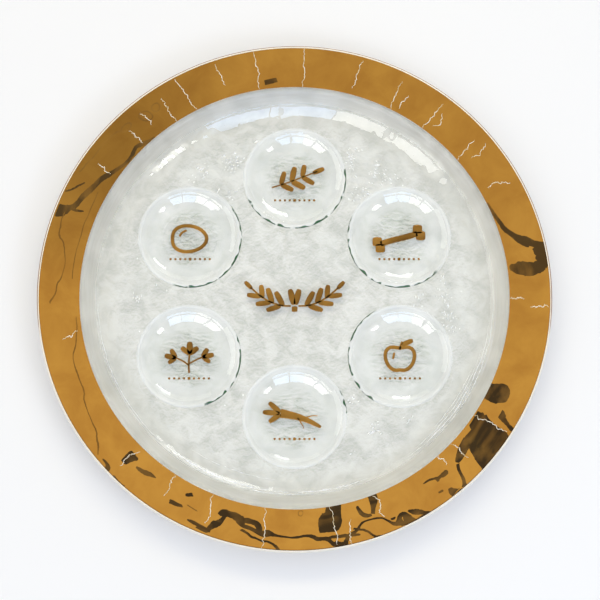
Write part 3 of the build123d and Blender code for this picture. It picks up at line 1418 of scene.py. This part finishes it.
@dataclass(frozen=True)
class Studio:
    """The white table, the window light and the camera at the photo's viewing angle."""

    elevation: float = 79.2
    distance: float = 1.8
    lens: float = 135.5
    sensor: float = 36.0
    aim: tuple[float, float, float] = (4.3 * MM, 0.0, 0.0)
    table: str = "#F6F6F6"
    table_glow: float = 0.28
    table_size: float = 8.0
    table_drop: float = 0.3 * MM
    # The sky: strength at the horizon and overhead, share left at the front, the directions' heights and depths
    # between which these change, and a dimmer spot with its reach
    horizon: float = 0.82
    zenith: float = 1.04
    sky_rise: tuple[float, float] = (0.6, 0.85)
    front_share: float = 0.82
    back_rise: tuple[float, float] = (0.05, 0.3)
    dim_side: tuple[float, float, float] = (0.125, 0.085, 0.988)
    dim_reach: tuple[float, float] = (0.02, 0.11)
    dim_share: float = 0.62
    # Front windows, a small window at the side, one near the far wall, two pale walls, and the light on matte things
    panes: tuple[Pane, ...] = (
        Pane((-105, -83), (32, 60), SKY_BLUE, 5.0), Pane((-81, -58), (32, 60), SKY_BLUE, 5.0),
        Pane((-105, -83), (18, 26), SKY_BLUE, 5.0), Pane((-81, -58), (18, 26), SKY_BLUE, 5.0),
        Pane((-150, -129), (32, 60), WHITE, 4.6), Pane((-126, -106), (32, 60), WHITE, 4.6),
        Pane((-150, -129), (18, 26), WHITE, 4.6), Pane((-126, -106), (18, 26), WHITE, 4.6),
        Pane((-44, -32), (41, 55), WHITE, 8.0),
        Pane((60, 84), (24, 35), WHITE, 6.0, distance=0.36),
        Pane((60, 120), (-4, 23), WHITE, 1.3), Pane((150, 210), (-4, 23), WHITE, 2.0),
        Pane((45, 140), (42, 54), "#FFEDBE", 4.9, Sees.MATTE, 1.7),
        Pane((-62, -28), (38, 54), "#DDE9FF", 5.4, Sees.MATTE, 1.7),
        Pane((-158, -122), (45, 60), "#FFF2E0", 2.0, Sees.MATTE, 1.7),
    )
    shades: tuple[Shade, ...] = (
        Shade("dark_furniture", "#525F98", "#929CC8", (
            Stroke(((-185, 585), (-197, 593), (-223, 611), (-255, 626)), 28, Nib.LEAF),
            Stroke(((-149, 588), (-158, 593), (-174, 601)), 5), Stroke(((-141, 594), (-168, 612), (-206, 639)), 6),
            Stroke(((-129, 602), (-152, 614), (-171, 626), (-188, 631)), 21),
            Stroke(((-197, 635), (-190, 631), (-172, 650), (-152, 655)), 19, Nib.LEAF),
            Stroke(((-111, 633), (-129, 648), (-150, 654)), 6),
            Stroke(((-141, 593), (-135, 609), (-108, 632), (-95, 642), (-82, 650)), 3),
            Stroke(((-93, 643), (-89, 653), (-91, 663), (-92, 674)), 6, Nib.LEAF),
            Stroke(((-80, 649), (-82, 656), (-89, 679), (-82, 699), (-68, 707), (-50, 699), (-38, 686),
                    (-37, 673)), 4),
            Stroke(((-63, 669), (-63, 683), (-56, 695), (-48, 702)), 3),
            Stroke(((-51, 692), (-40, 689), (-38, 696), (-31, 688)), 6, Nib.LEAF),
            Stroke(((-38, 672), (-30, 690), (-24, 709), (-8, 717), (3, 714), (17, 719), (29, 717), (33, 715),
                    (51, 717), (64, 720), (64, 700), (53, 668), (54, 660)), 5),
            Stroke(((9, 687), (12, 702), (24, 712), (22, 701), (42, 710)), 4),
            Stroke(((28, 718), (31, 723), (37, 724), (52, 718)), 5),
            Stroke(((41, 721), (55, 718), (65, 721), (69, 714)), 10, Nib.LEAF),
            Stroke(((56, 670), (57, 667), (58, 664)), 13, Nib.DOT),
            Stroke(((-83, 708), (-94, 713), (-99, 739), (-101, 747)), 7),
            Stroke(((-81, 709), (-66, 717), (-67, 736)), 7, Nib.LEAF),
            Stroke(((-35, 703), (-39, 726), (-46, 740), (-51, 773)), 10, Nib.LEAF),
            Stroke(((-36, 719), (-40, 728), (-41, 743)), 4), Stroke(((94, 713), (94, 708), (95, 703)), 5, Nib.DOT),
            Stroke(((129, 675), (131, 669), (132, 665)), 8, Nib.DOT),
            Stroke(((148, 669), (140, 660), (137, 651)), 8, Nib.DOT),
        )),
        Shade("soft_shadow", "#6874A8", "#9CA5CA", (
            Stroke(((151, 419), (175, 410), (179, 395), (175, 372), (184, 349), (184, 322), (173, 311), (158, 313),
                    (162, 300), (153, 288)), 6),
            Stroke(((179, 405), (178, 387), (179, 361), (185, 338)), 11, Nib.LEAF),
            Stroke(((147, 405), (157, 392), (163, 376)), 3, Nib.LEAF),
            Stroke(((175, 408), (187, 404), (199, 397)), 3, Nib.LEAF), Stroke(((25, 232), (18, 230), (11, 231)), 9),
            Stroke(((-228, 367), (-228, 386), (-226, 411), (-218, 430), (-197, 439), (-178, 447), (-167, 449),
                    (-176, 452)), 7),
            Stroke(((-229, 396), (-224, 422), (-212, 434), (-196, 441)), 10, Nib.LEAF),
            Stroke(((-165, 450), (-196, 451), (-215, 452), (-246, 448)), 10, Nib.LEAF),
            Stroke(((-133, 669), (-140, 675), (-137, 683), (-129, 693)), 4, Nib.LEAF),
            Stroke(((-119, 652), (-115, 655), (-112, 658)), 4, Nib.DOT),
            Stroke(((77, 693), (77, 692), (77, 691)), 5, Nib.DOT),
            Stroke(((78, 682), (83, 675), (87, 669)), 7, Nib.DOT),
            Stroke(((112, 614), (122, 621), (128, 616)), 6, Nib.LEAF),
            Stroke(((106, 623), (107, 623), (107, 624)), 5, Nib.DOT),
        )),
        Shade("thin_cable", "#A2A9C6", "#BCC2D6", (
            Stroke(((176, 489), (197, 477), (205, 456), (192, 436), (174, 425), (162, 423), (166, 414)), 2),
            Stroke(((119, 323), (113, 313), (117, 299), (128, 301), (127, 312)), 2, closed=True),
            Stroke(((112, 307), (101, 306), (101, 297), (113, 293)), 2, closed=True),
            Stroke(((134, 341), (126, 335), (130, 325), (140, 329)), 2, closed=True),
            Stroke(((141, 379), (143, 356), (131, 350), (135, 337)), 2),
            Stroke(((223, 465), (213, 425), (217, 401), (194, 364)), 2),
            Stroke(((133, 610), (158, 618), (172, 606), (166, 588), (191, 594), (199, 569), (218, 536),
                    (229, 509)), 2),
            Stroke(((-26, 749), (-19, 740), (-14, 743), (-14, 751)), 1, closed=True),
        )),
    )
    ceiling: float = 2.5

    def build(self) -> None:
        """Build the table, the light and the camera."""
        self.add_table()
        self.add_world()
        for pane in self.panes:
            self.add_pane(pane)
        for shade in self.shades:
            self.add_shade(shade)
        self.add_camera()
        bpy.context.scene.view_settings.view_transform = "Standard"

    def add_table(self) -> None:
        """Add the table just under the plate: matte white paint, with a glow of its own that keeps it bright."""
        half = self.table_size / 2
        corners = np.array([(-half, -half), (half, -half), (half, half), (-half, half)])
        corners = np.concatenate([corners, np.full((4, 1), -self.table_drop)], axis=1)
        material = blank_material("matte_white_table")
        tree = material.node_tree
        paint = add(tree, "BsdfPrincipled", {"Base Color": linear(self.table), "Roughness": 0.7})
        white = add(tree, "Emission", {"Color": linear(WHITE), "Strength": 1.0})
        rays = add(tree, "LightPath")
        glossy = add(tree, "Math", {0: rays.outputs["Is Camera Ray"], 1: rays.outputs["Is Glossy Ray"]},
                     operation="MAXIMUM")
        seen = add(tree, "Math", {0: glossy.outputs["Value"], 1: rays.outputs["Is Transmission Ray"]},
                   operation="MAXIMUM")
        share = add(tree, "Math", {0: seen.outputs["Value"], 1: self.table_glow}, operation="MULTIPLY")
        mix = add(tree, "MixShader", {
            "Fac": share.outputs["Value"], 1: paint.outputs["BSDF"], 2: white.outputs["Emission"],
        })
        add(tree, "OutputMaterial", {"Surface": mix.outputs["Shader"]})
        make_object("table", Surface(corners, [np.arange(4)[None]], np.zeros(1, int)), [material])

    def add_world(self) -> None:
        """Add the studio's sky: white to the camera, brighter overhead than at the horizon and towards the back."""
        world = bpy.data.worlds.new("studio")
        bpy.context.scene.world = world
        world.use_nodes = True
        tree = world.node_tree
        tree.nodes.clear()
        place_of = add(tree, "TexCoord").outputs["Generated"]
        direction = add(tree, "SeparateXYZ", {"Vector": place_of})
        level = add(tree, "MapRange", {
            "Value": direction.outputs["Z"], "From Min": self.sky_rise[0], "From Max": self.sky_rise[1],
            "To Min": self.horizon, "To Max": self.zenith,
        })
        backward = add(tree, "MapRange", {
            "Value": direction.outputs["Y"], "From Min": self.back_rise[0], "From Max": self.back_rise[1],
            "To Min": self.front_share, "To Max": 1.0,
        })
        glow = add(tree, "Math", {0: level.outputs["Result"], 1: backward.outputs["Result"]}, operation="MULTIPLY")
        away = add(tree, "VectorMath", {0: place_of, 1: self.dim_side}, operation="DISTANCE")
        dim = add(tree, "MapRange", {
            "Value": away.outputs["Value"], "From Min": self.dim_reach[0], "From Max": self.dim_reach[1],
            "To Min": self.dim_share, "To Max": 1.0,
        })
        glow = add(tree, "Math", {0: glow.outputs["Value"], 1: dim.outputs["Result"]}, operation="MULTIPLY")
        rays = add(tree, "LightPath")
        seen = add(tree, "Math", {0: rays.outputs["Is Camera Ray"], 1: glow.outputs["Value"]}, operation="MAXIMUM")
        sky = add(tree, "Background", {"Color": linear(DAYLIGHT), "Strength": seen.outputs["Value"]})
        add(tree, "OutputWorld", {"Surface": sky.outputs["Background"]})

    def add_pane(self, pane: Pane) -> None:
        """Add one bright pane, which only the rays that it is for can see.

        Args:
            pane: the pane.
        """
        surface = Surface(pane.corners(), [np.arange(4)[None]], np.zeros(1, int))
        sheet = make_object("window_pane", surface, [pane.material()])
        sheet.visible_camera = False
        sheet.visible_shadow = False
        sheet.visible_diffuse = pane.sees is Sees.MATTE
        sheet.visible_glossy = pane.sees is Sees.MIRRORS
        sheet.visible_transmission = pane.sees is Sees.MIRRORS

    def add_shade(self, shade: Shade) -> None:
        """Add dark things overhead, for the dark shapes in the gold.

        Args:
            shade: the things.
        """
        surfaces = [
            stroke.surface(np.zeros(2), MM, lambda x, y: np.full_like(x, self.ceiling), MM, count=64)
            for stroke in shade.strokes
        ]
        sheet = make_object(shade.name, joined(surfaces), [shade.material()])
        sheet.visible_camera = False
        sheet.visible_diffuse = False
        sheet.visible_transmission = False
        sheet.visible_shadow = False

    def add_camera(self) -> None:
        """Add the camera, aimed a little to the right of the plate's middle."""
        data = bpy.data.cameras.new("camera")
        data.lens, data.sensor_width = self.lens, self.sensor
        camera = bpy.data.objects.new("camera", data)
        bpy.context.scene.collection.objects.link(camera)
        tilt = math.radians(90 - self.elevation)
        back = np.array([0.0, -math.sin(tilt), math.cos(tilt)])
        camera.location = np.array(self.aim) + back * self.distance
        camera.rotation_euler = (tilt, 0.0, 0.0)
        bpy.context.scene.camera = camera


def main() -> None:
    """Build the plate, its gold, its bowls and the studio."""
    logging.basicConfig(level=logging.INFO, format="%(name)s: %(message)s")
    plate = GlassPlate(radius=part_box("glass_plate")[1].x)
    gold_low, gold_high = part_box("gold_rim_band")
    gold_thickness, edge_margin = 0.15 * MM, 0.4 * MM
    inner = gold_high.x - (gold_high.z - gold_low.z - gold_thickness) / math.tan(plate.rim_slope)
    GoldBand(plate, inner=inner, outer=gold_high.x - edge_margin).build()
    MarkSet().build("gold_mark_middle", Ornament.MIDDLE, "plate", np.array([0.0, 1.0 * MM]), plate.floor_height)
    bowls = (
        GlassBowl("bitter_herbs_bowl", Ornament.BITTER_HERBS, 0, green_shade_middle=-71, green_shade_reach=88),
        GlassBowl("shank_bone_bowl", Ornament.SHANK_BONE, 1, green_shade_middle=-123, green_shade_reach=83),
        GlassBowl("haroset_bowl", Ornament.HAROSET, 2, green_shade_middle=179, green_shade_reach=64),
        GlassBowl("horseradish_bowl", Ornament.HORSERADISH, 3, green_shade_middle=17, green_shade_reach=14),
        GlassBowl("parsley_bowl", Ornament.PARSLEY, 4, green_shade_middle=-24, green_shade_reach=50),
        GlassBowl("egg_bowl", Ornament.EGG, 5, green_shade_middle=-35, green_shade_reach=76),
    )
    plate.build(np.array([bowl.middle for bowl in bowls]))
    for bowl in bowls:
        bowl.build()
    Studio().build()


if __name__ == "__main__":
    main()
